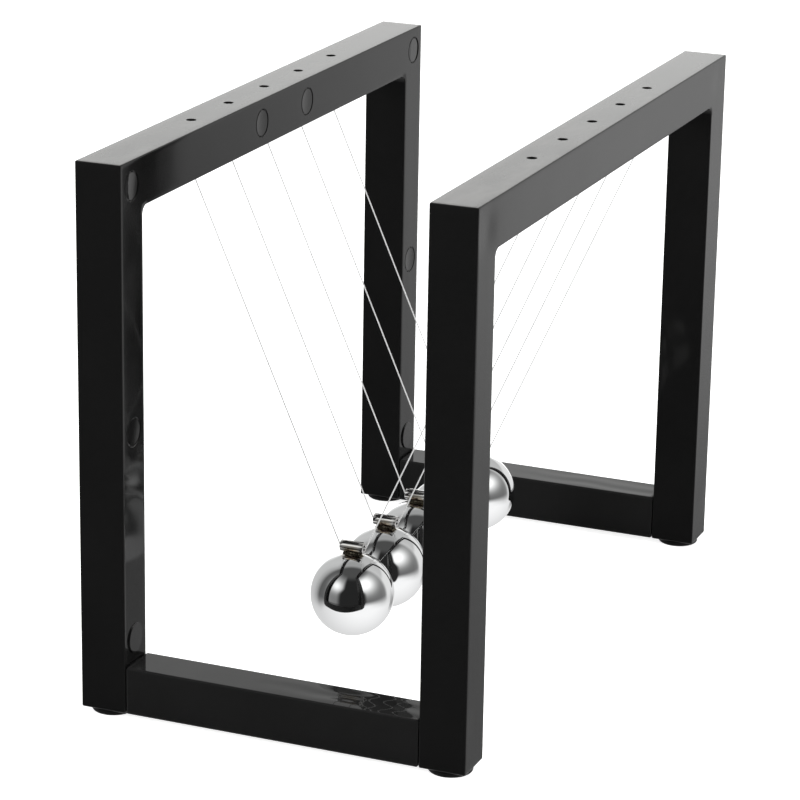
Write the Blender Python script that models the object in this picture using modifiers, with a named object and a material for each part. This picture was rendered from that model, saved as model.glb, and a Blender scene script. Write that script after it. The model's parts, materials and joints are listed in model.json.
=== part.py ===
"""Newton's cradle: two moulded arches on two crossbars, carrying five steel balls.

Frame: +X from the left arch to the right arch, +Y along the rails from front to rear,
+Z up. The origin is on the ground, at the centre of the footprint.
"""

import math

import bmesh
import bpy
from mathutils import Matrix, Vector

MM = 0.001

# Frame, outer sizes
FRAME_WIDTH = 100.0 * MM
FRAME_DEPTH = 183.0 * MM
ARCH_HEIGHT = 136.0 * MM
POST_WIDTH = 11.8 * MM
POST_DEPTH = 11.4 * MM
RAIL_HEIGHT = 12.2 * MM
INNER_CORNER_RADIUS = 2.2 * MM
EDGE_RADIUS = 0.35 * MM
EDGE_SEGMENTS = 2
FIT_GAP = 0.3 * MM

# Crossbars, with a tenon on each end that sits in a socket in the post
CROSSBAR_HEIGHT = 12.0 * MM
CROSSBAR_END_GAP = 0.2 * MM
TENON_SIDE = 6.0 * MM
TENON_LENGTH = 5.0 * MM

# Push-in feet
FOOT_DROP = 1.5 * MM
FOOT_RADIUS = 5.4 * MM
FOOT_PEG_RADIUS = 2.0 * MM
FOOT_PEG_LENGTH = 4.0 * MM
FOOT_EDGE = 0.5 * MM

# Pendulums
BALL_COUNT = 5
BALL_RADIUS = 10.5 * MM
BALL_GAP = 0.1 * MM
BALL_CENTRE_ABOVE_POSTS = 20.2 * MM
TUBE_ABOVE_BALL_CENTRE = 12.35 * MM
TUBE_RADIUS = 1.45 * MM
TUBE_BORE_RADIUS = 0.7 * MM
TUBE_LENGTH = 6.2 * MM
THREAD_RADIUS = 0.15 * MM
THREAD_TUBE_CLEARANCE = 0.35 * MM

# Stud between the ball and the tube
STUD_NECK_RADIUS = 1.7 * MM
STUD_PIN_RADIUS = 1.0 * MM
STUD_PIN_DEPTH = 4.0 * MM
STUD_GAP = 0.05 * MM

# Thread holes through the rails: a wide top part, with a step that the knot rests on
HOLE_RADIUS = 1.2 * MM
MOUTH_RADIUS = 0.6 * MM
STEP_ABOVE_RAIL_BOTTOM = 4.0 * MM
KNOT_RADIUS = 0.9 * MM
KNOT_GAP = 0.05 * MM
KNOT_TAIL_LENGTH = 2.0 * MM
STUB_CLEARANCE = 0.25 * MM

# Facets round a full turn, and the overlap of a cutter past the face it opens
BALL_SEGMENTS = 28
ROUND_SEGMENTS = 24
SMALL_SEGMENTS = 16
KNOT_SEGMENTS = 10
CUT_MARGIN = 2.0 * MM
CORNER_STEPS = 6
KNOT_STEPS = 6
THREAD_BEVEL_STEPS = 1

# Angles above which an edge is kept sharp, or is given its radius
SHARP_ANGLE = math.radians(35)
ROUNDED_EDGE_ANGLE = math.radians(40)

# Points closer together than this are one point
MERGE_DISTANCE = 0.001 * MM

# Places worked out from the sizes above
POST_BOTTOM = FOOT_DROP
ARCH_TOP = POST_BOTTOM + ARCH_HEIGHT
RAIL_BOTTOM = ARCH_TOP - RAIL_HEIGHT
ARCH_X = (FRAME_WIDTH - POST_WIDTH) / 2
POST_Y = (FRAME_DEPTH - POST_DEPTH) / 2
BALL_PITCH = 2 * BALL_RADIUS + BALL_GAP
BALL_Z = POST_BOTTOM + BALL_CENTRE_ABOVE_POSTS
TUBE_Z = BALL_Z + TUBE_ABOVE_BALL_CENTRE
KNOT_STEP_Z = RAIL_BOTTOM + STEP_ABOVE_RAIL_BOTTOM
PIVOT_Z = RAIL_BOTTOM

SIDES = {"left": -1, "right": 1}
ENDS = {"front": -1, "rear": 1}
PARTS_NAME = "newtons_cradle"


def clear_scene():
    for old in list(bpy.data.objects):
        bpy.data.objects.remove(old, do_unlink=True)


def new_collection(name):
    collection = bpy.data.collections.new(name)
    bpy.context.scene.collection.children.link(collection)
    return collection


def make_material(name, color, roughness, metallic=0.0):
    material = bpy.data.materials.new(name)
    material.use_nodes = True
    principled = material.node_tree.nodes["Principled BSDF"]
    principled.inputs["Base Color"].default_value = (*color, 1.0)
    principled.inputs["Roughness"].default_value = roughness
    principled.inputs["Metallic"].default_value = metallic
    return material


def add_mesh_object(name, mesh, collection, material=None):
    obj = bpy.data.objects.new(name, mesh)
    collection.objects.link(obj)
    if material is not None:
        mesh.materials.append(material)
    return obj


def mesh_from_bmesh(name, bm, smooth=False):
    bmesh.ops.recalc_face_normals(bm, faces=bm.faces)
    mesh = bpy.data.meshes.new(name)
    bm.to_mesh(mesh)
    bm.free()
    if smooth:
        mesh.shade_smooth()
        mesh.set_sharp_from_angle(angle=SHARP_ANGLE)
    return mesh


def box_mesh(name, size):
    bm = bmesh.new()
    bmesh.ops.create_cube(bm, size=1.0, matrix=Matrix.Diagonal((*size, 1.0)))
    return mesh_from_bmesh(name, bm)


def cylinder_mesh(name, radius, length, segments, axis="Z"):
    turn = Matrix.Rotation(math.pi / 2, 4, "Y") if axis == "X" else Matrix.Identity(4)
    bm = bmesh.new()
    bmesh.ops.create_cone(bm, cap_ends=True, segments=segments, radius1=radius,
                          radius2=radius, depth=length, matrix=turn)
    return mesh_from_bmesh(name, bm, smooth=True)


def turned_mesh(name, profile, segments):
    """A solid of revolution about Z from (radius, z) points, top to bottom."""
    bm = bmesh.new()
    points = [bm.verts.new((radius, 0.0, z)) for radius, z in profile]
    edges = [bm.edges.new(pair) for pair in zip(points, points[1:])]
    bmesh.ops.spin(bm, geom=points + edges, axis=(0, 0, 1), cent=(0, 0, 0), steps=segments,
                   angle=2 * math.pi)
    bmesh.ops.remove_doubles(bm, verts=bm.verts, dist=MERGE_DISTANCE)
    return mesh_from_bmesh(name, bm, smooth=True)


def hide_as_cutter(cutter):
    cutter.hide_render = True
    cutter.display_type = "WIRE"


def add_cutter(name, mesh, location):
    cutter = add_mesh_object(name, mesh, cutters)
    cutter.location = location
    hide_as_cutter(cutter)
    return cutter


def add_boolean(obj, cutter, operation="DIFFERENCE"):
    modifier = obj.modifiers.new(cutter.name, "BOOLEAN")
    modifier.object = cutter
    modifier.operation = operation


def add_edge_radius(obj):
    modifier = obj.modifiers.new("edge_radius", "BEVEL")
    modifier.width = EDGE_RADIUS
    modifier.segments = EDGE_SEGMENTS
    modifier.limit_method = "ANGLE"
    modifier.angle_limit = ROUNDED_EDGE_ANGLE


def ball_y(number):
    return (number - (BALL_COUNT + 1) / 2) * BALL_PITCH


def opening_cutter(name, x):
    """The arch's opening: a block open at the bottom, with two rounded top corners."""
    width = POST_WIDTH + 2 * (INNER_CORNER_RADIUS + CUT_MARGIN)
    height = RAIL_BOTTOM - POST_BOTTOM + INNER_CORNER_RADIUS + CUT_MARGIN
    depth = FRAME_DEPTH - 2 * POST_DEPTH
    mesh = box_mesh(name, (width, depth, height))
    cutter = add_cutter(name, mesh, (x, 0.0, RAIL_BOTTOM - height / 2))
    rounding = cutter.modifiers.new("corners", "BEVEL")
    rounding.width = INNER_CORNER_RADIUS
    rounding.segments = CORNER_STEPS
    return cutter


def cut_thread_holes(arch, side, x):
    wide_length = ARCH_TOP - KNOT_STEP_Z + CUT_MARGIN
    mouth_length = STEP_ABOVE_RAIL_BOTTOM + 2 * CUT_MARGIN
    wide = cylinder_mesh(f"{side}_hole", HOLE_RADIUS, wide_length, SMALL_SEGMENTS)
    mouth = cylinder_mesh(f"{side}_mouth", MOUTH_RADIUS, mouth_length, SMALL_SEGMENTS)
    for number in range(1, BALL_COUNT + 1):
        y = ball_y(number)
        wide_z = KNOT_STEP_Z + wide_length / 2
        mouth_z = RAIL_BOTTOM - CUT_MARGIN + mouth_length / 2
        add_boolean(arch, add_cutter(f"{side}_hole_{number}", wide, (x, y, wide_z)))
        add_boolean(arch, add_cutter(f"{side}_mouth_{number}", mouth, (x, y, mouth_z)))


def cut_post_sockets(arch, side, sign, x):
    """The crossbar's tenon socket and the foot's peg hole, at the bottom of each post."""
    socket_side = TENON_SIDE + 2 * FIT_GAP
    socket_length = 2 * (TENON_LENGTH + FIT_GAP)
    socket = box_mesh(f"{side}_socket", (socket_length, socket_side, socket_side))
    peg_length = 2 * (FOOT_PEG_LENGTH + FIT_GAP)
    peg = cylinder_mesh(f"{side}_peg_hole", FOOT_PEG_RADIUS + FIT_GAP, peg_length,
                        ROUND_SEGMENTS)
    inner_face_x = sign * (FRAME_WIDTH / 2 - POST_WIDTH)
    socket_z = crossbar_z() + tenon_lift()
    for end, end_sign in ENDS.items():
        y = end_sign * POST_Y
        add_boolean(arch, add_cutter(f"{side}_{end}_socket", socket, (inner_face_x, y, socket_z)))
        add_boolean(arch, add_cutter(f"{side}_{end}_peg_hole", peg, (x, y, POST_BOTTOM)))


def crossbar_z():
    return POST_BOTTOM + CROSSBAR_HEIGHT / 2


def tenon_lift():
    """The tenon sits above the bar's middle, clear of the foot's peg hole below it."""
    return CROSSBAR_HEIGHT / 2 - TENON_SIDE / 2 - FIT_GAP


def make_arch(side, sign):
    """An inverted U: two posts and a top rail, moulded in one piece."""
    x = sign * ARCH_X
    mesh = box_mesh(f"{side}_arch", (POST_WIDTH, FRAME_DEPTH, ARCH_HEIGHT))
    arch = add_mesh_object(f"{side}_arch", mesh, parts, black_plastic)
    arch.location = (x, 0.0, POST_BOTTOM + ARCH_HEIGHT / 2)
    add_boolean(arch, opening_cutter(f"{side}_opening", x))
    add_edge_radius(arch)
    cut_thread_holes(arch, side, x)
    cut_post_sockets(arch, side, sign, x)
    return arch


def make_crossbar(end, end_sign):
    """A bar between the two arches, with a tenon standing out of each end."""
    length = FRAME_WIDTH - 2 * POST_WIDTH - 2 * CROSSBAR_END_GAP
    mesh = box_mesh(f"{end}_crossbar", (length, POST_DEPTH, CROSSBAR_HEIGHT))
    bar = add_mesh_object(f"{end}_crossbar", mesh, parts, black_plastic)
    bar.location = (0.0, end_sign * POST_Y, crossbar_z())
    add_edge_radius(bar)
    tenon_span = FRAME_WIDTH - 2 * POST_WIDTH + 2 * TENON_LENGTH
    tenons = box_mesh(f"{end}_tenons", (tenon_span, TENON_SIDE, TENON_SIDE))
    place = bar.location + Vector((0.0, 0.0, tenon_lift()))
    add_boolean(bar, add_cutter(f"{end}_tenons", tenons, place), "UNION")
    return bar


def make_foot(end, end_sign, side, sign):
    """A round pad with a peg that pushes into the bottom of the post."""
    pad_top = FOOT_DROP - STUD_GAP
    profile = [
        (0.0, FOOT_DROP + FOOT_PEG_LENGTH),
        (FOOT_PEG_RADIUS, FOOT_DROP + FOOT_PEG_LENGTH),
        (FOOT_PEG_RADIUS, pad_top),
        (FOOT_RADIUS, pad_top),
        (FOOT_RADIUS, FOOT_EDGE),
        (FOOT_RADIUS - FOOT_EDGE, 0.0),
        (0.0, 0.0),
    ]
    mesh = turned_mesh(f"foot_{end}_{side}", profile, ROUND_SEGMENTS)
    foot = add_mesh_object(f"foot_{end}_{side}", mesh, parts, rubber)
    foot.location = (sign * ARCH_X, end_sign * POST_Y, 0.0)
    return foot


def make_pivot(number):
    """An empty on the swing axis of one pendulum, at the mouths of its two thread holes."""
    pivot = bpy.data.objects.new(f"pivot_{number}", None)
    parts.objects.link(pivot)
    pivot.location = (0.0, ball_y(number), PIVOT_Z)
    pivot.empty_display_size = BALL_RADIUS
    return pivot


def hang(obj, pivot, z):
    """Puts a pendulum's piece at the height z, under the pivot and parented to it."""
    obj.parent = pivot
    obj.location = (0.0, 0.0, z - PIVOT_Z)
    return obj


def make_ball(number, pivot):
    """A steel ball with a blind hole in its top for the stud."""
    bm = bmesh.new()
    bmesh.ops.create_uvsphere(bm, u_segments=BALL_SEGMENTS, v_segments=BALL_SEGMENTS // 2,
                              radius=BALL_RADIUS)
    ball = add_mesh_object(f"ball_{number}", mesh_from_bmesh(f"ball_{number}", bm, True),
                           parts, steel)
    hang(ball, pivot, BALL_Z)
    hole_length = 2 * (STUD_PIN_DEPTH + FIT_GAP)
    hole = cylinder_mesh(f"ball_{number}_hole", STUD_PIN_RADIUS + FIT_GAP, hole_length,
                         SMALL_SEGMENTS)
    place = (0.0, ball_y(number), BALL_Z + BALL_RADIUS)
    add_boolean(ball, add_cutter(f"ball_{number}_hole", hole, place))
    return ball


def make_stud(number, pivot):
    """A pin in the ball, with a neck whose top is hollowed to seat the tube."""
    seat = TUBE_Z - BALL_Z
    neck_foot = math.sqrt(BALL_RADIUS**2 - STUD_PIN_RADIUS**2) + STUD_GAP
    profile = [
        (0.0, seat),
        (STUD_NECK_RADIUS, seat),
        (STUD_NECK_RADIUS, neck_foot),
        (STUD_PIN_RADIUS, neck_foot),
        (STUD_PIN_RADIUS, BALL_RADIUS - STUD_PIN_DEPTH),
        (0.0, BALL_RADIUS - STUD_PIN_DEPTH),
    ]
    mesh = turned_mesh(f"hanger_stud_{number}", profile, SMALL_SEGMENTS)
    stud = add_mesh_object(f"hanger_stud_{number}", mesh, parts, braze)
    hang(stud, pivot, BALL_Z)
    seat_cut = cylinder_mesh(f"stud_{number}_seat", TUBE_RADIUS + STUD_GAP,
                             TUBE_LENGTH, ROUND_SEGMENTS, axis="X")
    place = (0.0, ball_y(number), TUBE_Z)
    add_boolean(stud, add_cutter(f"stud_{number}_seat", seat_cut, place))
    return stud


def make_tube(number, pivot):
    """A short tube along X that the thread runs through."""
    mesh = cylinder_mesh(f"hanger_tube_{number}", TUBE_RADIUS, TUBE_LENGTH, ROUND_SEGMENTS,
                         axis="X")
    tube = add_mesh_object(f"hanger_tube_{number}", mesh, parts, steel)
    hang(tube, pivot, TUBE_Z)
    bore = cylinder_mesh(f"tube_{number}_bore", TUBE_BORE_RADIUS, TUBE_LENGTH + CUT_MARGIN,
                         SMALL_SEGMENTS, axis="X")
    place = (0.0, ball_y(number), TUBE_Z)
    add_boolean(tube, add_cutter(f"tube_{number}_bore", bore, place))
    return tube


def make_thread(number, pivot):
    """One thread: down from the left rail, through the tube, up to the right rail."""
    bend_x = TUBE_LENGTH / 2 + THREAD_TUBE_CLEARANCE
    drop = TUBE_Z - PIVOT_Z
    path = [(-ARCH_X, 0.0), (-bend_x, drop), (bend_x, drop), (ARCH_X, 0.0)]
    curve = bpy.data.curves.new(f"thread_{number}", "CURVE")
    curve.dimensions = "3D"
    curve.bevel_depth = THREAD_RADIUS
    curve.bevel_resolution = THREAD_BEVEL_STEPS
    curve.use_fill_caps = True
    spline = curve.splines.new("POLY")
    spline.points.add(len(path) - 1)
    for point, (x, z) in zip(spline.points, path):
        point.co = (x, 0.0, z, 1.0)
    curve.materials.append(nylon)
    thread = bpy.data.objects.new(f"thread_{number}", curve)
    parts.objects.link(thread)
    return hang(thread, pivot, PIVOT_Z)


def knot_profile():
    """A straight tail, a round knot, and a stub that runs down to the hole's mouth."""
    seat = math.sqrt(KNOT_RADIUS**2 - MOUTH_RADIUS**2) + KNOT_GAP
    centre = KNOT_STEP_Z + seat
    tail_top = centre + KNOT_RADIUS + KNOT_TAIL_LENGTH
    stub_bottom = PIVOT_Z + STUB_CLEARANCE
    neck = math.asin(THREAD_RADIUS / KNOT_RADIUS)
    profile = [(0.0, tail_top), (THREAD_RADIUS, tail_top)]
    for step in range(KNOT_STEPS + 1):
        angle = neck + (math.pi - 2 * neck) * step / KNOT_STEPS
        profile.append((KNOT_RADIUS * math.sin(angle), centre + KNOT_RADIUS * math.cos(angle)))
    return profile + [(THREAD_RADIUS, stub_bottom), (0.0, stub_bottom)]


def make_knot(side, sign, number):
    """The thread's end inside the rail, knotted so that it can't pull through."""
    name = f"thread_knot_{side}_{number}"
    mesh = turned_mesh(name, knot_profile(), KNOT_SEGMENTS)
    knot = add_mesh_object(name, mesh, parts, nylon)
    knot.location = (sign * ARCH_X, ball_y(number), 0.0)
    return knot


def make_pendulum(number):
    pivot = make_pivot(number)
    make_ball(number, pivot)
    make_stud(number, pivot)
    make_tube(number, pivot)
    make_thread(number, pivot)


def build_cradle():
    for side, sign in SIDES.items():
        make_arch(side, sign)
        for number in range(1, BALL_COUNT + 1):
            make_knot(side, sign, number)
    for end, end_sign in ENDS.items():
        make_crossbar(end, end_sign)
        for side, sign in SIDES.items():
            make_foot(end, end_sign, side, sign)
    for number in range(1, BALL_COUNT + 1):
        make_pendulum(number)


clear_scene()
parts = new_collection(PARTS_NAME)
cutters = new_collection("cutters")
black_plastic = make_material("black_plastic", (0.012, 0.012, 0.013), 0.16)
rubber = make_material("rubber", (0.015, 0.015, 0.016), 0.6)
steel = make_material("polished_steel", (0.83, 0.83, 0.84), 0.05, 1.0)
braze = make_material("brazed_steel", (0.35, 0.29, 0.22), 0.3, 1.0)
nylon = make_material("nylon", (0.9, 0.9, 0.9), 0.35)
build_cradle()
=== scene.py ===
"""Looks of the Newton's cradle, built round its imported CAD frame.

Frame: +X from the left arch to the right arch, +Y from front to rear, +Z up, in metres.
"""

import json
import math

import bmesh
import bpy
from mathutils import Matrix, Vector, noise


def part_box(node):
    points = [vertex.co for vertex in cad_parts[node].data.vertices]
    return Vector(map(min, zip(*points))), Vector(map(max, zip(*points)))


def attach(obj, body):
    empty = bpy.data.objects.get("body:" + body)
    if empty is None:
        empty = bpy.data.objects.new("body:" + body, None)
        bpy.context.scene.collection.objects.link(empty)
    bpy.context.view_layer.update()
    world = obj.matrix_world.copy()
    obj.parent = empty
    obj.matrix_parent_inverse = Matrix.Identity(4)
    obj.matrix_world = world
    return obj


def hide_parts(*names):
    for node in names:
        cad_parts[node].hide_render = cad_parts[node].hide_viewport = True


MM = 0.001
SIDES = {"left": -1, "right": 1}
ENDS = {"front": -1, "rear": 1}
BALL_COUNT = 5
SMOOTH_ANGLE = 35.0
BEVEL_ANGLE = 60.0

# Mouldings
EDGE_RADIUS = 0.36 * MM
EDGE_SEGMENTS = 3
INNER_CORNER_RADIUS = 2.2 * MM
GRID_STEP = 2.0 * MM
ACROSS_CELLS = 10
WIDTH_CELLS = 5
CORNER_STEPS = 16
WALL_WAVE = 0.006 * MM
OUTER_WAVE = 0.012 * MM
SINK_DEPTH = 0.11 * MM
SINK_RADIUS = 4.6 * MM
STREAK = 0.004 * MM
WALL_WAVE_SIZE = 18.0 * MM
OUTER_WAVE_SIZE = 22.0 * MM
STREAK_SIZE = 3.4 * MM
STREAK_STRETCH = 14.0
CROSSBAR_CELLS = (72, 22, 22)
RIPPLE = 0.016 * MM
RIPPLE_PITCH = 5.5 * MM
RIPPLE_START = -8.0 * MM
RIPPLE_FADE = 22.0 * MM
RIPPLE_WANDER = 1.8
RIPPLE_WANDER_SIZE = 13.0 * MM
CROSSBAR_GAP = 0.2 * MM
CUT_MARGIN = 2.0 * MM
FIT_GAP = 0.3 * MM

# Round marks that the mould's ejector pins left on the inner face of each arch
MARK_RADIUS = 3.7 * MM
MARK_SEGMENTS = 72
MARK_GROOVE = 0.38 * MM
MARK_GROOVE_DEPTH = 0.30 * MM
MARK_DISC_DEPTH = 0.05 * MM
MARK_DISH = 0.05 * MM
RAIL_MARK_TILT = math.radians(0.6)
CORNER_MARK_TILT = math.radians(2.6)
POST_MARK_TILT = math.radians(0.2)
MARK_RAIL_OFFSET = 13.8 * MM
MARK_POST_HEIGHT = 70.0 * MM
RAISED_MARK_HEIGHT = 17.8 * MM
RAISED_MARK_TILT = math.radians(3.0)
RAISED_MARK_LIFT = 0.22 * MM
RAISED_MARK_EDGE = 0.08 * MM

# Thread holes
HOLE_RADIUS = 1.2 * MM
HOLE_RIM = 0.12 * MM
MOUTH_RADIUS = 0.6 * MM
MOUTH_RIM = 0.3 * MM
STEP_HEIGHT = 4.0 * MM

# Joints between the mouldings and the feet
TENON_SIDE = 6.0 * MM
TENON_LENGTH = 5.0 * MM
PEG_RADIUS = 2.0 * MM
PEG_LENGTH = 4.0 * MM
FOOT_SEAT_GAP = 0.05 * MM
FOOT_RIM = 0.55 * MM
FOOT_SHOULDER = 0.3 * MM
FOOT_FILLET = 0.25 * MM
FOOT_TREAD = (1.9 * MM, 2.1 * MM)

# Pendulums
BALL_SEGMENTS = 128
BALL_RINGS = 88
TUBE_SEGMENTS = 64
TUBE_BORE_RADIUS = 0.7 * MM
TUBE_CHAMFER = 0.12 * MM
THREAD_RADIUS = 0.17 * MM
THREAD_BEND_RADIUS = 0.7 * MM
THREAD_BEND_REACH = 0.35 * MM
KNOT_RISE = 0.75 * MM
KNOT_REACH = 0.85 * MM
KNOT_HEIGHT = 0.32 * MM
KNOT_START = -52.0
KNOT_SWEEP = 344.0
BRAZE_WAIST = (2.45 * MM, 0.5 * MM)
BRAZE_FLARE = (0.35 * MM, 0.7 * MM)
BRAZE_SINK = 0.28 * MM
BRAZE_TUCK = 0.85
PIN_HOLE_RADIUS = 1.3 * MM
PIN_HOLE_DEPTH = 4.3 * MM
PIN_HOLE_CHAMFER = 0.25 * MM

# Camera, at the reference viewing angle
CAMERA_PLACE = (0.304369, -0.756853, 0.320948)
CAMERA_AZIMUTH = math.radians(22.2563)
CAMERA_ELEVATION = math.radians(17.7497)
CAMERA_ROLL = math.radians(0.973)
CAMERA_SENSOR = 36.0
CAMERA_FOCAL_RATIO = 4.17875

# Materials
WHITE = (1.0, 1.0, 1.0, 1.0)
NOISE_SPAN = (0.3, 0.7)
UPWARD_LIMITS = (0.75, 0.98)
# Colour of the pale film on upward faces: real dusting, and painted sheen
DUST_AND_SHEEN_COLOR = (0.63, 0.62, 0.60)
PLASTIC_IOR = 1.5
PLASTIC_GLOSS_TINT = (0.152, 0.15, 0.147, 1.0)
# Tone, a dusty film that also carries painted sheen, and the roughness of walls and of upward
# faces
ARCH_FINISH = (0.0095, 0.19, 0.07, 0.20)
# The crossbars' tone is higher than the arches': a painted lift that stands in for light on the
# low bars
CROSSBAR_FINISH_PAINTED_LIFT = (0.0145, 0.01, 0.035, 0.03)
TUBE_TINTS = ((0.0, (0.74, 0.73, 0.72)), (0.35, (0.60, 0.54, 0.44)), (0.6, (0.30, 0.23, 0.16)),
              (0.8, (0.12, 0.10, 0.11)), (1.0, (0.10, 0.08, 0.09)))
# Painted glow of the thread: emission that only camera rays see, so the thread reads bright
# against the black frame
THREAD_PAINTED_GLOW = 0.20

# Surroundings that glossy surfaces see: levels, and edges in degrees of azimuth and elevation.
# A diffuser is its peak level, its azimuth and elevation, and its spread in each.
WALL_STOPS = ((-180.0, 0.52), (-135.0, 0.58), (-120.0, 0.60), (-105.0, 0.56), (-90.0, 0.38),
              (-78.0, 0.11), (-64.0, 0.13), (-50.0, 0.25), (-30.0, 0.22), (0.0, 0.20),
              (54.0, 0.13), (75.0, 0.15), (110.0, 0.17), (122.0, 0.22), (133.0, 0.58),
              (180.0, 0.52))
DIFFUSERS = ((0.95, -29.0, 32.0, 20.0, 13.5), (1.30, 68.0, 38.0, 36.0, 21.0))
CURTAIN_LEVEL = 0.02
CURTAIN_LEFT = ((-12.0, 2.0), (-23.0, -8.0))
CURTAIN_RIGHT = ((54.0, 46.0), (66.0, 55.0))
CURTAIN_SLANT = (32.0, 12.0)
CURTAIN_SKIRT = (-9.0, -16.0)
HORIZON_SPANS = ((-128.0, -142.0), (126.0, 136.0))
HORIZON_LEVEL = 0.84
REAR_SPANS = ((-136.0, -150.0), (-180.0, -168.0))
REAR_BAND_LEVELS = (1.6, 0.95)
REAR_BAND_FADE = (10.0, 18.0)
REAR_BAND_EDGE = (26.0, 16.0)
CEILING_LEVELS = (0.078, 0.36)
CEILING_EDGE = (50.0, 68.0)
CEILING_SLANT = -0.35
CEILING_SPAN = (0.02, 0.24)
FAR_TABLE_STOPS = ((-180.0, 0.80), (-135.0, 0.70), (-118.0, 0.62), (-105.0, 0.55), (-60.0, 0.62),
                   (-30.0, 0.72), (20.0, 0.95), (70.0, 1.02), (92.0, 0.80), (112.0, 0.62),
                   (122.0, 0.62), (135.0, 0.76), (149.0, 0.70), (152.5, 0.31), (154.0, 0.31),
                   (157.0, 0.54), (159.5, 0.96), (162.0, 0.92), (163.3, 0.68),
                   (168.0, 0.76), (180.0, 0.80))
FAR_TABLE_FADE = 0.58
FAR_TABLE_FADE_SPAN = (-12.0, -23.0)
CORNER_SPANS = ((148.0, 152.5), (180.0, 168.0))
SHADED_SPANS = ((155.0, 159.5), (180.0, 168.0))
NEAR_TABLE_LEVELS = (0.74, 1.07)
NEAR_TABLE_EDGE = ((-12.0, -24.0), (-30.0, -34.0))
TABLE_LIGHT_SIDE = (0.82, -0.57)
TABLE_LIGHT_SPAN = (-0.7, 0.7)
TABLE_TOP = -5.0
TABLE_FULL = (-20.0, -38.0)
LEFT_SPAN = (-40.0, -80.0)
FRONT_SPANS = ((-62.0, -50.0), (60.0, 50.0))
FRONT_MIDDLE = 3.0
FRONT_HALF_WIDTH = 48.0
FRONT_TABLE_EDGE = (-22.0, -27.0)
FRONT_TABLE_DROOP = 7.0
FLOOR_LIFT = 0.85
FLOOR_SIZE = 24.0

# Lamps for matt surfaces: name, place, size and power
STUDIO_COLOR = (0.995, 1.0, 0.992, 1.0)
LIGHT_TARGET = (0.0, 0.0, 0.06)
SOFTBOXES = (("overhead_softbox", (0.0, 0.25, 1.5), (1.6, 1.6), 14.0),
             ("right_softbox", (1.15, -0.75, 0.75), (0.5, 0.8), 5.5),
             ("left_softbox", (-0.75, -1.15, 0.65), (0.35, 0.6), 5.5))


# ---------------------------------------------------------------- mesh helpers


def finish_mesh(name, bm, smooth_angle=SMOOTH_ANGLE):
    """A new object from a bmesh, with outward faces and sharp edges where it turns sharply."""
    bmesh.ops.recalc_face_normals(bm, faces=bm.faces)
    mesh = bpy.data.meshes.new(name)
    bm.to_mesh(mesh)
    bm.free()
    mesh.shade_smooth()
    mesh.set_sharp_from_angle(angle=math.radians(smooth_angle))
    obj = bpy.data.objects.new(name, mesh)
    bpy.context.scene.collection.objects.link(obj)
    return obj


def bake_modifiers(obj):
    """Replaces an object's mesh with the result of its modifiers."""
    bpy.context.view_layer.update()
    depsgraph = bpy.context.evaluated_depsgraph_get()
    mesh = bpy.data.meshes.new_from_object(obj.evaluated_get(depsgraph))
    obj.modifiers.clear()
    obj.data = mesh
    mesh.shade_smooth()
    mesh.set_sharp_from_angle(angle=math.radians(SMOOTH_ANGLE))


def weight_normals(obj):
    """Keeps flat faces flat to the eye right up to their rounded edges."""
    modifier = obj.modifiers.new("weighted_normals", "WEIGHTED_NORMAL")
    modifier.keep_sharp = True
    modifier.weight = 80


def round_edges(obj, width, segments):
    modifier = obj.modifiers.new("edge_radius", "BEVEL")
    modifier.width = width
    modifier.segments = segments
    modifier.limit_method = "ANGLE"
    modifier.angle_limit = math.radians(BEVEL_ANGLE)
    modifier.use_clamp_overlap = False


def boolean(obj, other, operation):
    """Cuts or joins another object, which is used up."""
    modifier = obj.modifiers.new("boolean", "BOOLEAN")
    modifier.object = other
    modifier.operation = operation
    bake_modifiers(obj)
    mesh = other.data
    bpy.data.objects.remove(other, do_unlink=True)
    bpy.data.meshes.remove(mesh)


def add_lathe(bm, profile, segments, place):
    """Adds a solid of revolution about Z from (radius, z) points, moved by a matrix."""
    points = [bm.verts.new((radius, 0.0, z)) for radius, z in profile]
    edges = [bm.edges.new(pair) for pair in zip(points, points[1:])]
    made = bmesh.ops.spin(bm, geom=points + edges, axis=(0, 0, 1), cent=(0, 0, 0),
                          steps=segments, angle=2 * math.pi)
    last = [item for item in made["geom_last"] if isinstance(item, bmesh.types.BMVert)]
    linked = grow_linked(points + last)
    bmesh.ops.transform(bm, matrix=place, verts=linked)
    bmesh.ops.remove_doubles(bm, verts=linked, dist=0.002 * MM)


def grow_linked(seed):
    """Every vertex joined to a seed vertex by edges, in the order in which it is reached."""
    found = dict.fromkeys(seed)
    front = list(found)
    while front:
        vertex = front.pop()
        for edge in vertex.link_edges:
            other = edge.other_vert(vertex)
            if other not in found:
                found[other] = True
                front.append(other)
    return list(found)


def lathe(name, profile, segments, place=None, smooth_angle=SMOOTH_ANGLE):
    bm = bmesh.new()
    add_lathe(bm, profile, segments, place or Matrix.Identity(4))
    return finish_mesh(name, bm, smooth_angle)


def add_box(bm, centre, size):
    matrix = Matrix.Translation(centre) @ Matrix.Diagonal((*size, 1.0))
    bmesh.ops.create_cube(bm, size=1.0, matrix=matrix)


def arc(centre, radius, start, end, steps):
    """Points on an arc in a plane, from start to end in degrees."""
    points = []
    for step in range(steps + 1):
        angle = math.radians(start + (end - start) * step / steps)
        points.append((centre[0] + radius * math.cos(angle), centre[1] + radius * math.sin(angle)))
    return points


def soft_noise(x, y, z, size, seed):
    """Smooth noise between about -1 and 1, with features of the given size."""
    return noise.noise(Vector((x / size + seed, y / size - seed, z / size + 2 * seed)))


def bump_shape(distance, radius):
    return math.exp(-(distance / radius) ** 2)


# ---------------------------------------------------------------- materials


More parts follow.
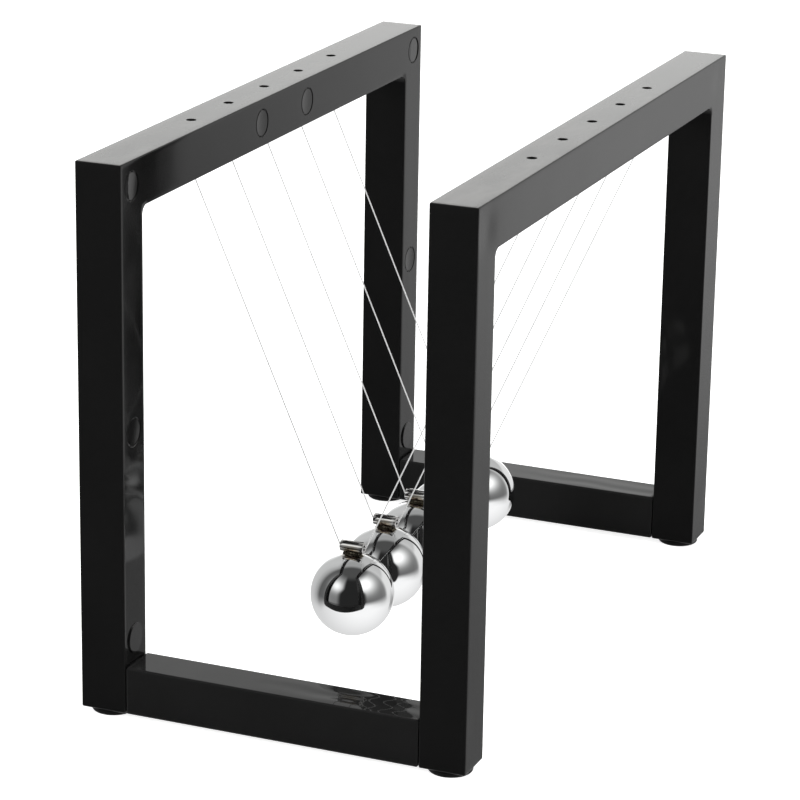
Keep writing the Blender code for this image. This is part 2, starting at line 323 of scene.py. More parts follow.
class Graph:
    """A node tree being built. An input may be a number, a tuple or another node's socket."""

    def __init__(self, tree):
        self.tree = tree
        tree.nodes.clear()

    def node(self, kind, inputs=None, **settings):
        """A new node with its settings, and then its inputs by name or number."""
        node = self.tree.nodes.new("ShaderNode" + kind)
        for name, value in settings.items():
            setattr(node, name, value)
        for name, value in (inputs or {}).items():
            if isinstance(value, bpy.types.NodeSocket):
                self.tree.links.new(value, node.inputs[name])
            else:
                node.inputs[name].default_value = value
        return node

    def object_coordinates(self):
        return self.node("TexCoord").outputs["Object"]

    def camera_only(self, level):
        """The level for what the camera sees straight on, and 0 for every other ray."""
        return self.multiply(self.node("LightPath").outputs["Is Camera Ray"], level)

    def split(self, vector):
        return self.node("SeparateXYZ", {"Vector": vector}).outputs

    def mapped(self, vector, scale):
        return self.node("Mapping", {"Vector": vector, "Scale": scale}).outputs["Vector"]

    def noise(self, vector, scale, detail, roughness=0.5):
        inputs = {"Vector": vector, "Scale": scale, "Detail": detail, "Roughness": roughness}
        return self.node("TexNoise", inputs).outputs["Fac"]

    def map_range(self, value, low_in, high_in, low_out=0.0, high_out=1.0, curve="LINEAR"):
        inputs = {"Value": value, "From Min": low_in, "From Max": high_in,
                  "To Min": low_out, "To Max": high_out}
        return self.node("MapRange", inputs, interpolation_type=curve).outputs["Result"]

    def smooth_step(self, value, limits):
        """0 at the first limit and 1 at the second, with a soft transition."""
        return self.map_range(value, *limits, curve="SMOOTHSTEP")

    def math(self, operation, first, second=0.0):
        return self.node("Math", {0: first, 1: second}, operation=operation).outputs["Value"]

    def multiply(self, first, second):
        return self.math("MULTIPLY", first, second)

    def between(self, value, spans):
        """1 where the value is inside the two soft edges that the spans give."""
        return self.multiply(*[self.smooth_step(value, span) for span in spans])

    def mix(self, factor, first, second):
        """A linear mix of two numbers."""
        return self.node("Mix", {"Factor": factor, "A": first, "B": second}).outputs["Result"]

    def mix_colors(self, factor, first, second):
        first, second = [(*color, 1.0) if isinstance(color, tuple) else color
                         for color in (first, second)]
        inputs = {"Factor": factor, "A": first, "B": second}
        return self.node("Mix", inputs, data_type="RGBA").outputs["Result"]

    def bump(self, height, strength, distance, more=None):
        inputs = {"Strength": strength, "Distance": distance, "Height": height, **(more or {})}
        return self.node("Bump", inputs).outputs["Normal"]

    def surface(self, inputs):
        """Ends a material in a Principled surface."""
        shader = self.node("BsdfPrincipled", inputs)
        self.node("OutputMaterial", {"Surface": shader.outputs["BSDF"]})


def new_material(name):
    material = bpy.data.materials.new(name)
    material.use_nodes = True
    return material, Graph(material.node_tree)


def black_plastic(name, shade, dust_and_sheen, wall_roughness, top_roughness):
    """Glossy black moulded plastic: faint swirls, moulding grain, and a pale film on upward faces,
    partly dusty and partly a painted sheen of the light from above.
    """
    material, graph = new_material(name)
    coords = graph.object_coordinates()
    facing = graph.split(graph.node("NewGeometry").outputs["Normal"])["Z"]
    up = graph.map_range(facing, *UPWARD_LIMITS)

    cloud = graph.noise(coords, 60.0, 3.0)
    grain = graph.noise(coords, 900.0, 2.0)
    speck = graph.noise(coords, 2600.0, 1.0, 0.3)
    mottle = graph.noise(graph.mapped(coords, (130.0, 45.0, 130.0)), 1.0, 3.0)

    # The pale film on upward faces is partly settled dusting and partly painted sheen: it lightens
    # the tops as light from above would
    film = graph.multiply(up, graph.map_range(mottle, *NOISE_SPAN, 0.5, 1.3))
    specks = graph.multiply(graph.map_range(speck, 0.72, 0.76, 0.0, 0.5), up)
    haze = graph.math("MAXIMUM", graph.multiply(film, dust_and_sheen), graph.multiply(specks, dust_and_sheen))
    plain = graph.mix_colors(cloud, (0.86 * shade,) * 3, (1.14 * shade,) * 3)

    walls = graph.map_range(cloud, *NOISE_SPAN, 0.6 * wall_roughness, 1.4 * wall_roughness)
    top = graph.map_range(mottle, *NOISE_SPAN, top_roughness * 0.8, top_roughness * 1.2)
    normal = graph.bump(grain, 0.02, 0.01 * MM)
    graph.surface({
        "Base Color": graph.mix_colors(haze, plain, DUST_AND_SHEEN_COLOR),
        "Roughness": graph.mix(up, walls, top),
        "IOR": PLASTIC_IOR,
        "Specular Tint": PLASTIC_GLOSS_TINT,
        "Normal": graph.bump(cloud, 0.06, 0.10 * MM, {"Normal": normal}),
    })
    return material


def foot_rubber():
    """Matt black rubber with a fine grain and worn, greyer patches."""
    material, graph = new_material("foot_rubber")
    coords = graph.object_coordinates()
    patches = graph.noise(coords, 260.0, 4.0)
    grain = graph.noise(coords, 3800.0, 2.0)
    graph.surface({
        "Base Color": graph.mix_colors(patches, (0.0015, 0.0015, 0.0015), (0.004, 0.004, 0.004)),
        "Roughness": graph.map_range(patches, *NOISE_SPAN, 0.5, 0.68),
        "Specular IOR Level": 0.2,
        "Normal": graph.bump(grain, 0.3, 0.05 * MM),
    })
    return material


def polished_steel(weld_height):
    """Mirror chrome with faint polishing haze, and a heat tint round the braze on top."""
    material, graph = new_material("polished_steel")
    coords = graph.object_coordinates()
    haze = graph.noise(coords, 180.0, 5.0, 0.6)
    lines = graph.noise(graph.mapped(coords, (300.0, 300.0, 4200.0)), 1.0, 2.0)
    height = graph.split(coords)["Z"]
    tint = graph.map_range(height, weld_height - 0.35 * MM, weld_height, 0.0, 0.7)
    rough = graph.map_range(haze, 0.35, 0.75, 0.01, 0.035)
    graph.surface({
        "Base Color": graph.mix_colors(tint, (0.87, 0.875, 0.88), (0.34, 0.27, 0.19)),
        "Metallic": 1.0,
        "Roughness": graph.math("ADD", rough, graph.multiply(tint, 0.2)),
        "Normal": graph.bump(lines, 0.02, 0.01 * MM),
    })
    return material


def drawn_tube():
    """Bright drawn steel: lines along the tube, and a straw and blue heat tint at its middle."""
    material, graph = new_material("drawn_tube")
    coords = graph.object_coordinates()
    drawn = graph.noise(graph.mapped(coords, (250.0, 6000.0, 6000.0)), 1.0, 3.0)
    patchy = graph.noise(coords, 900.0, 4.0)
    place = graph.split(coords)
    near = graph.map_range(graph.math("ABSOLUTE", place["X"]), 0.5 * MM, 2.4 * MM, 1.0, 0.0)
    low = graph.map_range(place["Z"], -0.9 * MM, 0.7 * MM, 1.0, 0.0)
    heat = graph.multiply(graph.multiply(near, low), graph.map_range(patchy, 0.3, 0.65, 0.5, 1.3))
    ramp = graph.node("ValToRGB", {"Fac": heat})
    for position, color in TUBE_TINTS[1:-1]:
        ramp.color_ramp.elements.new(position).color = (*color, 1.0)
    for index in (0, -1):
        ramp.color_ramp.elements[index].color = (*TUBE_TINTS[index][1], 1.0)
    graph.surface({
        "Base Color": ramp.outputs["Color"],
        "Metallic": 1.0,
        "Roughness": graph.map_range(drawn, *NOISE_SPAN, 0.04, 0.12),
        "Normal": graph.bump(drawn, 0.06, 0.02 * MM),
    })
    return material


def braze_metal():
    """Lumpy braze: dark bronze in the hollows, brighter on the crests."""
    material, graph = new_material("braze_metal")
    lumps = graph.noise(graph.object_coordinates(), 1500.0, 5.0)
    crests = graph.map_range(lumps, 0.35, 0.65)
    graph.surface({
        "Base Color": graph.mix_colors(crests, (0.014, 0.012, 0.009), (0.22, 0.195, 0.145)),
        "Metallic": 0.9,
        "Roughness": graph.map_range(lumps, *NOISE_SPAN, 0.34, 0.12),
        "Normal": graph.bump(lumps, 0.7, 0.25 * MM),
    })
    return material


def nylon():
    """White nylon thread: fine fibres in a twisted lay, and a painted glow that only the camera
    sees.
    """
    material, graph = new_material("nylon_thread")
    coords = graph.object_coordinates()
    lay = graph.node("TexWave", {"Vector": coords, "Scale": 900.0, "Distortion": 0.6},
                     bands_direction="DIAGONAL").outputs["Fac"]
    fibre = graph.noise(coords, 2400.0, 2.0)
    graph.surface({
        "Base Color": graph.mix_colors(fibre, (0.55, 0.55, 0.547), (0.65, 0.65, 0.647)),
        "Roughness": 0.38,
        "Emission Color": WHITE,
        # Painted light: the thread glows to the camera, though it is no lamp
        "Emission Strength": graph.camera_only(THREAD_PAINTED_GLOW),
        "Normal": graph.bump(lay, 0.35, 0.03 * MM),
    })
    return material


# ---------------------------------------------------------------- mouldings


class ArchShape:
    """The sizes of one arch, read from the CAD frame."""

    def __init__(self, side, sign):
        low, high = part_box(f"{side}_arch")
        bar_low, bar_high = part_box("front_crossbar")
        self.side = side
        self.sign = sign
        self.inner_x = min(low.x, high.x, key=abs)
        self.outer_x = max(low.x, high.x, key=abs)
        self.centre_x = (low.x + high.x) / 2
        self.front = low.y
        self.rear = high.y
        self.bottom = low.z
        self.top = high.z
        self.post_depth = bar_high.y - bar_low.y
        self.rail_bottom = frame["joints"][0]["pos_m"][2]
        self.post_y = (self.rear - self.front - self.post_depth) / 2
        self.rail_z = (self.rail_bottom + self.top) / 2


def straight(start, end, steps):
    """Points on a line in a plane, without its end."""
    return [(start[0] + (end[0] - start[0]) * step / steps,
             start[1] + (end[1] - start[1]) * step / steps) for step in range(steps)]


def half_outline(shape):
    """Pairs of inner and outer (y, z) points from the front post's foot to the rail's middle."""
    inner_y = shape.front + shape.post_depth
    bend_z = shape.rail_bottom - INNER_CORNER_RADIUS
    centre = (inner_y + INNER_CORNER_RADIUS, bend_z)
    half = CORNER_STEPS // 2
    post_steps = round((bend_z - shape.bottom) / GRID_STEP)
    rail_steps = round((0.0 - centre[0]) / GRID_STEP)
    inner = straight((inner_y, shape.bottom), (inner_y, bend_z), post_steps)
    inner += arc(centre, INNER_CORNER_RADIUS, 180, 90, CORNER_STEPS)[:-1]
    inner += straight((centre[0], shape.rail_bottom), (0.0, shape.rail_bottom), rail_steps)
    outer = straight((shape.front, shape.bottom), (shape.front, bend_z), post_steps)
    outer += straight((shape.front, bend_z), (shape.front, shape.top), half)
    outer += straight((shape.front, shape.top), (centre[0], shape.top), half)
    outer += straight((centre[0], shape.top), (0.0, shape.top), rail_steps)
    return list(zip(inner, outer))


def full_outline(shape):
    """The half outline, the rail's middle, and the half outline mirrored to the rear."""
    front_half = half_outline(shape)
    middle = [((0.0, shape.rail_bottom), (0.0, shape.top))]
    rear_half = [((-a[0], a[1]), (-b[0], b[1])) for a, b in reversed(front_half)]
    return front_half + middle + rear_half


def sink(shape, y, z):
    """Depth of the shallow dips that thick corners leave in the outer face as they cool."""
    corner_y = abs(y) - shape.post_y
    dips = ((1.0, shape.rail_z), (0.45, shape.bottom + shape.post_depth),
            (0.25, MARK_POST_HEIGHT + shape.bottom))
    return SINK_DEPTH * sum(share * bump_shape(math.hypot(corner_y, z - dip_z), SINK_RADIUS)
                            for share, dip_z in dips)


def face_offset(shape, outer_face, y, z):
    """How far a point of a large face stands off its plane, outward positive."""
    seed = 3.1 if shape.sign < 0 else 7.7
    on_rail = z > shape.rail_bottom
    across, along = (z, y) if on_rail else (y, z)
    streak = STREAK * soft_noise(0.0, across, along / STREAK_STRETCH, STREAK_SIZE, seed + 9.0)
    if outer_face:
        wave = OUTER_WAVE * soft_noise(0.0, y, z, OUTER_WAVE_SIZE, seed)
        return wave + streak - sink(shape, y, z)
    return WALL_WAVE * soft_noise(0.0, y, z, WALL_WAVE_SIZE, seed + 5.0) + streak


def arch_lattice(shape):
    """The arch's skin as a fine grid, so that its faces can carry shallow moulding shapes."""
    outline = full_outline(shape)
    last = len(outline) - 1
    bm = bmesh.new()
    made = {}

    def vertex(station, across, width):
        key = (station, across, width)
        if key not in made:
            inner, outer = outline[station]
            share = across / ACROSS_CELLS
            y = inner[0] + (outer[0] - inner[0]) * share
            z = inner[1] + (outer[1] - inner[1]) * share
            x = shape.inner_x + (shape.outer_x - shape.inner_x) * width / WIDTH_CELLS
            inside = 0 < across < ACROSS_CELLS and 0 < station < last
            if inside and width in (0, WIDTH_CELLS):
                outer_face = width == WIDTH_CELLS
                direction = shape.sign if outer_face else -shape.sign
                x += direction * face_offset(shape, outer_face, y, z)
            made[key] = bm.verts.new((x, y, z))
        return made[key]

    def cell(start, first, second):
        """A face from a start index along two steps."""
        both = [first[axis] + second[axis] for axis in range(3)]
        corners = [[start[axis] + step[axis] for axis in range(3)]
                   for step in ((0, 0, 0), first, both, second)]
        bm.faces.new([vertex(*corner) for corner in corners])

    for station in range(last):
        for across in range(ACROSS_CELLS):
            for width in (0, WIDTH_CELLS):
                cell((station, across, width), (1, 0, 0), (0, 1, 0))
        for width in range(WIDTH_CELLS):
            for across in (0, ACROSS_CELLS):
                cell((station, across, width), (1, 0, 0), (0, 0, 1))
    for station in (0, last):
        for across in range(ACROSS_CELLS):
            for width in range(WIDTH_CELLS):
                cell((station, across, width), (0, 1, 0), (0, 0, 1))
    return bm


def thread_hole_profile(shape):
    """A stepped hole with eased rims, as a cutter that stands past both faces of the rail."""
    step = shape.rail_bottom + STEP_HEIGHT
    over = shape.top + CUT_MARGIN
    under = shape.rail_bottom - CUT_MARGIN
    return [
        (0.0, over),
        (HOLE_RADIUS + HOLE_RIM + CUT_MARGIN, over),
        (HOLE_RADIUS + HOLE_RIM, shape.top),
        (HOLE_RADIUS + 0.3 * HOLE_RIM, shape.top - 0.4 * HOLE_RIM),
        (HOLE_RADIUS, shape.top - HOLE_RIM),
        (HOLE_RADIUS, step),
        (MOUTH_RADIUS, step),
        (MOUTH_RADIUS, shape.rail_bottom + MOUTH_RIM),
        (MOUTH_RADIUS + 0.3 * MOUTH_RIM, shape.rail_bottom + 0.4 * MOUTH_RIM),
        (MOUTH_RADIUS + MOUTH_RIM, shape.rail_bottom),
        (MOUTH_RADIUS + MOUTH_RIM + CUT_MARGIN, under),
        (0.0, under),
    ]


def mark_profile():
    """A shallow dished disc with a deeper ring groove at its rim, sunk along -Z."""
    disc = MARK_RADIUS - MARK_GROOVE
    wall_depth = 0.6 * MARK_GROOVE_DEPTH
    profile = [(0.0, CUT_MARGIN), (MARK_RADIUS, CUT_MARGIN), (MARK_RADIUS, -wall_depth),
               (MARK_RADIUS - 0.3 * MARK_GROOVE, -MARK_GROOVE_DEPTH), (disc, -wall_depth)]
    for share in (0.97, 0.8, 0.6, 0.4, 0.2, 0.0):
        profile.append((disc * share, -MARK_DISC_DEPTH - MARK_DISH * (1 - share ** 2)))
    return profile


def mark_places(shape):
    """The ejector marks sunk into one arch's inner face, as (y, z, tilt)."""
    places = [(MARK_RAIL_OFFSET, shape.rail_z, RAIL_MARK_TILT),
              (shape.post_y, shape.rail_z, CORNER_MARK_TILT),
              (shape.post_y, shape.bottom + MARK_POST_HEIGHT, POST_MARK_TILT)]
    return [(direction * y, z, tilt) for direction in (-1, 1) for y, z, tilt in places]


def raised_marks(shape):
    """The lowest mark on each post: a thin disc that stands out of the face on its front side."""
    bm = bmesh.new()
    facing = Matrix.Rotation(-shape.sign * math.pi / 2, 4, "Y")
    lean = Matrix.Rotation(-shape.sign * RAISED_MARK_TILT, 4, "Z")
    edge = RAISED_MARK_EDGE
    rim = arc((MARK_RADIUS - edge, RAISED_MARK_LIFT - edge), edge, 90, 0, 3)
    profile = [(0.0, RAISED_MARK_LIFT)] + rim + [(MARK_RADIUS, -CUT_MARGIN), (0.0, -CUT_MARGIN)]
    for direction in ENDS.values():
        place = Matrix.Translation((shape.inner_x, direction * shape.post_y,
                                    shape.bottom + RAISED_MARK_HEIGHT))
        add_lathe(bm, profile, MARK_SEGMENTS, place @ lean @ facing)
    return finish_mesh(f"{shape.side}_raised_marks", bm)


def arch_cutter(shape):
    """Thread holes, ejector marks, tenon sockets and peg holes of one arch, as one object."""
    bm = bmesh.new()
    for number in range(1, BALL_COUNT + 1):
        low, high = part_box(f"thread_knot_{shape.side}_{number}")
        place = Matrix.Translation((shape.centre_x, (low.y + high.y) / 2, 0.0))
        add_lathe(bm, thread_hole_profile(shape), 48, place)
    facing = Matrix.Rotation(-shape.sign * math.pi / 2, 4, "Y")
    for y, z, tilt in mark_places(shape):
        lean = Matrix.Rotation(-shape.sign * tilt, 4, "Z")
        place = Matrix.Translation((shape.inner_x, y, z))
        add_lathe(bm, mark_profile(), MARK_SEGMENTS, place @ lean @ facing)
    bar_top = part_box("front_crossbar")[1].z
    tenon_z = bar_top - FIT_GAP - TENON_SIDE / 2
    socket = TENON_SIDE + 2 * FIT_GAP
    peg_depth = 2 * (PEG_LENGTH + FIT_GAP)
    for end_sign in ENDS.values():
        y = end_sign * shape.post_y
        size = (2 * (TENON_LENGTH + FIT_GAP), socket, socket)
        add_box(bm, Vector((shape.inner_x, y, tenon_z)), size)
        reach = PEG_RADIUS + FIT_GAP
        place = Matrix.Translation((shape.centre_x, y, shape.bottom))
        profile = [(0.0, peg_depth / 2), (reach, peg_depth / 2), (reach, -peg_depth / 2),
                   (0.0, -peg_depth / 2)]
        add_lathe(bm, profile, 40, place)
    return finish_mesh(f"{shape.side}_cutter", bm)


def make_arch(side, sign, material):
    shape = ArchShape(side, sign)
    arch = finish_mesh(f"{side}_arch_moulding", arch_lattice(shape))
    round_edges(arch, EDGE_RADIUS, EDGE_SEGMENTS)
    bake_modifiers(arch)
    boolean(arch, raised_marks(shape), "UNION")
    boolean(arch, arch_cutter(shape), "DIFFERENCE")
    weight_normals(arch)
    finish_piece(arch, material, "frame", f"{side}_arch")


def box_lattice(low, high, cells, offset):
    """A box's skin as a grid; offset gives each inner grid point its shift along the face."""
    bm = bmesh.new()
    made = {}

    def vertex(index):
        if index not in made:
            share = [index[axis] / cells[axis] for axis in range(3)]
            point = Vector([low[axis] + (high[axis] - low[axis]) * share[axis]
                            for axis in range(3)])
            on_face = [axis for axis in range(3) if index[axis] in (0, cells[axis])]
            if len(on_face) == 1:
                axis = on_face[0]
                direction = 1 if index[axis] else -1
                point[axis] += direction * offset(point)
            made[index] = bm.verts.new(point)
        return made[index]

    for axis in range(3):
        first, second = [other for other in range(3) if other != axis]
        for level in (0, cells[axis]):
            for i in range(cells[first]):
                for j in range(cells[second]):
                    corners = []
                    for step_i, step_j in ((0, 0), (1, 0), (1, 1), (0, 1)):
                        index = [0, 0, 0]
                        index[axis] = level
                        index[first] = i + step_i
                        index[second] = j + step_j
                        corners.append(vertex(tuple(index)))
                    bm.faces.new(corners)
    return bm


def make_crossbar(end, material):
    """A moulded bar with eased ends and a faintly rippled skin, and its two tenons."""
    low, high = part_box(f"{end}_crossbar")
    left_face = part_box("left_arch")[1].x
    right_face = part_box("right_arch")[0].x
    seed = 11.0 if end == "front" else 17.0

    def ripple(point):
        share = min(max((point.x - RIPPLE_START) / RIPPLE_FADE, 0.0), 1.0)
        phase = 2 * math.pi * (point.y + point.z) / RIPPLE_PITCH
        phase += RIPPLE_WANDER * soft_noise(point.x, point.y, 0.0, RIPPLE_WANDER_SIZE, seed)
        wave = RIPPLE * share * math.sin(phase)
        return wave + WALL_WAVE * soft_noise(point.x, point.y, point.z, 17 * MM, seed + 1.0)

    bar_low = Vector((left_face + CROSSBAR_GAP, low.y, low.z))
    bar_high = Vector((right_face - CROSSBAR_GAP, high.y, high.z))
    skin = box_lattice(bar_low, bar_high, CROSSBAR_CELLS, ripple)
    bar = finish_mesh(f"{end}_crossbar_moulding", skin)
    round_edges(bar, 1.3 * EDGE_RADIUS, EDGE_SEGMENTS)
    bake_modifiers(bar)
    bm = bmesh.new()
    centre = Vector((0.0, (low.y + high.y) / 2, high.z - FIT_GAP - TENON_SIDE / 2))
    add_box(bm, centre, (high.x - low.x, TENON_SIDE, TENON_SIDE))
    tenons = finish_mesh(f"{end}_tenons", bm)
    round_edges(tenons, 0.3 * MM, 2)
    bake_modifiers(tenons)
    boolean(bar, tenons, "UNION")
    weight_normals(bar)
    finish_piece(bar, material, "frame", f"{end}_crossbar")


def make_foot(end, side, material):
    """A push-in rubber foot: a rounded pad dished below, and a peg with a lead-in."""
    node = f"foot_{end}_{side}"
    low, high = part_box(node)
    radius = (high.x - low.x) / 2
    pad_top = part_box(f"{side}_arch")[0].z - FOOT_SEAT_GAP
    rim = FOOT_RIM
    edge = FOOT_SHOULDER
    tread, dish = [radius - inset for inset in FOOT_TREAD]
    profile = [(0.0, high.z), (PEG_RADIUS - rim, high.z)]
    profile += reversed(arc((PEG_RADIUS - rim, high.z - rim), rim, 0, 75, 4))
    profile += [(PEG_RADIUS, pad_top + edge), (PEG_RADIUS + FOOT_FILLET, pad_top)]
    profile += reversed(arc((radius - edge, pad_top - edge), edge, 0, 90, 4))
    profile += reversed(arc((radius - rim, low.z + rim), rim, 270, 360, 6))
    profile += [(tread, low.z), (dish, low.z + FOOT_FILLET), (0.0, low.z + edge)]
    centre = Matrix.Translation(((low.x + high.x) / 2, (low.y + high.y) / 2, 0.0))
    foot = lathe(f"{node}_pad", profile, 56, centre)
    finish_piece(foot, material, "frame", node)


# ---------------------------------------------------------------- pendulums


class Pendulum:
    """Places and sizes of one pendulum, read from the CAD frame."""

    def __init__(self, number):
        ball_low, ball_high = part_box(f"ball_{number}")
        tube_low, tube_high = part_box(f"hanger_tube_{number}")
        joint = next(item for item in frame["joints"] if item["name"] == f"swing_{number}")
        self.number = number
        self.body = f"pendulum_{number}"
        self.y = (ball_low.y + ball_high.y) / 2
        self.radius = (ball_high.y - ball_low.y) / 2
        self.ball_z = ball_low.z + self.radius
        self.tube_z = (tube_low.z + tube_high.z) / 2
        self.tube_radius = (tube_high.z - tube_low.z) / 2
        self.tube_half = (tube_high.x - tube_low.x) / 2
        self.pivot_z = joint["pos_m"][2]
        self.hole_x = sum(corner.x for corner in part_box("right_arch")) / 2


def make_ball(pendulum, material):
    """A polished ball, with the eased hole in its top that the tube's pin sits in."""
    radius = pendulum.radius
    rim = PIN_HOLE_RADIUS + PIN_HOLE_CHAMFER
    start = math.degrees(math.acos(rim / radius))
    floor_z = radius - PIN_HOLE_DEPTH
    profile = [(0.0, floor_z - 0.4 * MM), (PIN_HOLE_RADIUS, floor_z),
               (PIN_HOLE_RADIUS, radius - 2.0 * PIN_HOLE_CHAMFER)]
    profile += reversed(arc((0.0, 0.0), radius, -90, start, BALL_RINGS))
    ball = lathe(f"ball_{pendulum.number}_polished", profile, BALL_SEGMENTS, smooth_angle=50.0)
    ball.location = (0.0, pendulum.y, pendulum.ball_z)
    finish_piece(ball, material, pendulum.body, f"ball_{pendulum.number}")


def make_tube(pendulum, material):
    """A short drawn tube with chamfered ends and an open bore, lying along X."""
    half = pendulum.tube_half
    radius = pendulum.tube_radius
    edge = TUBE_CHAMFER
    outer = arc((radius - edge, half - edge), edge, 90, 0, 4)
    outer += [(radius, half * share) for share in (0.6, 0.2, -0.2, -0.6)]
    outer += arc((radius - edge, -half + edge), edge, 0, -90, 4)
    inner = arc((TUBE_BORE_RADIUS + edge, -half + edge), edge, 270, 180, 4)
    inner += [(TUBE_BORE_RADIUS, half * share) for share in (-0.5, 0.0, 0.5)]
    inner += arc((TUBE_BORE_RADIUS + edge, half - edge), edge, 180, 90, 4)
    profile = outer + inner
    profile.append(profile[0])
    lay_down = Matrix.Rotation(math.pi / 2, 4, "Y")
    tube = lathe(f"hanger_tube_{pendulum.number}_drawn", profile, TUBE_SEGMENTS, lay_down)
    tube.location = (0.0, pendulum.y, pendulum.tube_z)
    finish_piece(tube, material, pendulum.body, f"hanger_tube_{pendulum.number}")


def braze_ring(pendulum, share, steps):
    """One ring of the braze fillet: wide on the ball, waisted, and tucked under the tube."""
    waist = math.cos(math.pi * share) * 0.5 + 0.5
    half_x = BRAZE_WAIST[0] + BRAZE_FLARE[0] * waist ** 1.6
    half_y = BRAZE_WAIST[1] + BRAZE_FLARE[1] * waist ** 1.8
    bottom = pendulum.radius - BRAZE_SINK
    top = pendulum.tube_z - pendulum.ball_z - BRAZE_TUCK * pendulum.tube_radius
    z = bottom + (top - bottom) * share
    ring = []
    for step in range(steps):
        angle = 2 * math.pi * step / steps
        seed = pendulum.number * 1.7
        lump = 1.0 + 0.14 * soft_noise(math.cos(angle), math.sin(angle), share, 0.55, seed)
        lump += 0.07 * soft_noise(math.cos(angle), math.sin(angle), share, 0.17, seed + 0.4)
        x = half_x * lump * math.copysign(abs(math.cos(angle)) ** 0.8, math.cos(angle))
        y = half_y * lump * math.copysign(abs(math.sin(angle)) ** 0.8, math.sin(angle))
        drape = (x * x + y * y) / (2 * pendulum.radius) * (1 - share)
        ring.append((x, y, z - drape))
    return ring


def make_braze(pendulum, material):
    """The lumpy fillet between ball and tube, with the pin below it that sits in the ball."""
    steps = 96
    levels = 16
    bm = bmesh.new()
    pin_foot = pendulum.radius - PIN_HOLE_DEPTH + 0.3 * MM
    pin_radius = PIN_HOLE_RADIUS - FIT_GAP
    rings = []
    for radius, z in ((0.75 * pin_radius, pin_foot), (pin_radius, pin_foot + 0.3 * MM),
                      (pin_radius, pendulum.radius - 0.7 * MM)):
        ring = [(radius * math.cos(2 * math.pi * step / steps),
                 radius * math.sin(2 * math.pi * step / steps), z) for step in range(steps)]
        rings.append(ring)
    rings += [braze_ring(pendulum, level / levels, steps) for level in range(levels + 1)]
    rows = [[bm.verts.new(point) for point in ring] for ring in rings]
    for lower, upper in zip(rows, rows[1:]):
        for step in range(steps):
            following = (step + 1) % steps
            bm.faces.new((lower[step], lower[following], upper[following], upper[step]))
    bm.faces.new(list(reversed(rows[0])))
    bm.faces.new(rows[-1])
    braze = finish_mesh(f"hanger_braze_{pendulum.number}", bm, 60.0)
    braze.location = (0.0, pendulum.y, pendulum.ball_z)
    finish_piece(braze, material, pendulum.body, f"hanger_stud_{pendulum.number}")


def thread_path(pendulum):
    """Right half of the thread: from the tube's middle, round a bend, to the hole's mouth."""
    bend_x = pendulum.tube_half + THREAD_BEND_REACH
    rise = pendulum.pivot_z - pendulum.tube_z
    run = pendulum.hole_x - bend_x
    slope = math.degrees(math.atan2(rise, run))
    tangent = THREAD_BEND_RADIUS * math.tan(math.radians(slope) / 2)
    points = [(0.0, 0.0), (0.5 * bend_x, 0.0)]
    points += arc((bend_x - tangent, THREAD_BEND_RADIUS), THREAD_BEND_RADIUS, -90, slope - 90, 8)
    for share in (0.3, 0.6, 0.9):
        points.append((bend_x + run * share, rise * share))
    points.append((pendulum.hole_x, rise))
    return points


def add_tube_along(name, points, resolution):
    """A round thread through the points, as a closed mesh."""
    curve = bpy.data.curves.new(name, "CURVE")
    curve.dimensions = "3D"
    curve.bevel_depth = THREAD_RADIUS
    curve.bevel_resolution = resolution
    curve.use_fill_caps = True
    spline = curve.splines.new("POLY")
    spline.points.add(len(points) - 1)
    for point, place in zip(spline.points, points):
        point.co = (*place, 1.0)
    wire = bpy.data.objects.new(name + "_path", curve)
    bpy.context.scene.collection.objects.link(wire)
    bpy.context.view_layer.update()
    depsgraph = bpy.context.evaluated_depsgraph_get()
    bm = bmesh.new()
    bm.from_mesh(wire.evaluated_get(depsgraph).to_mesh())
    bmesh.ops.remove_doubles(bm, verts=bm.verts, dist=0.001 * MM)
    bpy.data.objects.remove(wire, do_unlink=True)
    return finish_mesh(name, bm, 60.0)


def make_thread(pendulum, material):
    right = thread_path(pendulum)
    left = [(-x, z) for x, z in reversed(right[1:])]
    points = [(x, 0.0, z) for x, z in left + right]
    thread = add_tube_along(f"thread_{pendulum.number}_span", points, 4)
    thread.location = (0.0, pendulum.y, pendulum.tube_z)
    finish_piece(thread, material, pendulum.body, f"thread_{pendulum.number}")


def knot_points(centre_z, steps=56):
    """An overhand knot: a trefoil, opened where its two ends run up and down."""
    points = []
    for step in range(steps + 1):
        turn = math.radians(KNOT_START + KNOT_SWEEP * step / steps)
        x = (math.sin(turn) + 2 * math.sin(2 * turn)) / 3 * KNOT_REACH
        y = (math.cos(turn) - 2 * math.cos(2 * turn)) / 3 * KNOT_REACH
        points.append((x, y, centre_z - KNOT_HEIGHT * math.sin(3 * turn)))
    return points


def make_knot(side, sign, number, material):
    """A thread's end inside the rail: stub, overhand knot on the hole's step, and cut tail."""
    node = f"thread_knot_{side}_{number}"
    low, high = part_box(node)
    mouth = frame["joints"][0]["pos_m"][2]
    step = mouth + STEP_HEIGHT
    centre_z = step + KNOT_RISE
    stub = [(0.0, 0.0, mouth), (0.0, 0.0, step - 0.4 * MM), (0.0, 0.0, step)]
    tail = [(0.0, 0.0, centre_z + 0.9 * MM), (0.1 * MM, 0.0, high.z - 0.4 * MM),
            (0.2 * MM, 0.05 * MM, high.z)]
    knot = add_tube_along(f"{node}_tied", stub + knot_points(centre_z) + tail, 3)
    knot.location = (sign * Pendulum(number).hole_x, (low.y + high.y) / 2, 0.0)
    finish_piece(knot, material, "frame", node)


def finish_piece(obj, material, body, node):
    """Gives a piece its material and its body, and lets it stand for its CAD node."""
    obj.data.materials.clear()
    obj.data.materials.append(material)
    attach(obj, body)
    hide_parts(node)


